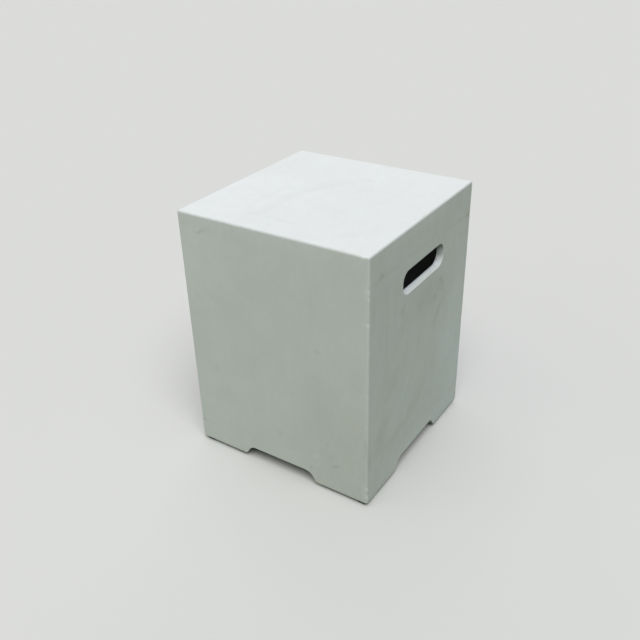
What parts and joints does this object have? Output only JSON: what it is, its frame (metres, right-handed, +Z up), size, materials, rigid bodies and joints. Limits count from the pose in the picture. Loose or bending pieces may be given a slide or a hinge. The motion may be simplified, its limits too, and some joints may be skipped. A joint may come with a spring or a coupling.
{
  "type": "propane tank cover table",
  "caption": "Square open-bottomed cast concrete box that hides a gas cylinder and serves as a side table, with hand slots, base notches and rubber feet.",
  "frame": {"origin": "on the floor, at the centre of the square footprint, standing on the pads", "axes": "+Z up; -Y is the plain front face; +X and -X are the faces with a hand slot"},
  "size_m": [0.4, 0.4, 0.52],
  "materials": {
    "concrete": "matte light grey cast concrete, sealed, with faint cloudy mottling",
    "pad_rubber": "matte black",
    "bolt_steel": "satin stainless",
    "insert_brass": "satin"
  },
  "bodies": {
    "root": {"concrete_shell": "concrete", "foot_insert_front_left": "insert_brass", "foot_pad_front_left": "pad_rubber", "pad_washer_front_left": "bolt_steel", "pad_bolt_front_left": "bolt_steel", "foot_insert_front_right": "insert_brass", "foot_pad_front_right": "pad_rubber", "pad_washer_front_right": "bolt_steel", "pad_bolt_front_right": "bolt_steel", "foot_insert_back_right": "insert_brass", "foot_pad_back_right": "pad_rubber", "pad_washer_back_right": "bolt_steel", "pad_bolt_back_right": "bolt_steel", "foot_insert_back_left": "insert_brass", "foot_pad_back_left": "pad_rubber", "pad_washer_back_left": "bolt_steel", "pad_bolt_back_left": "bolt_steel"}
  },
  "joints": []
}
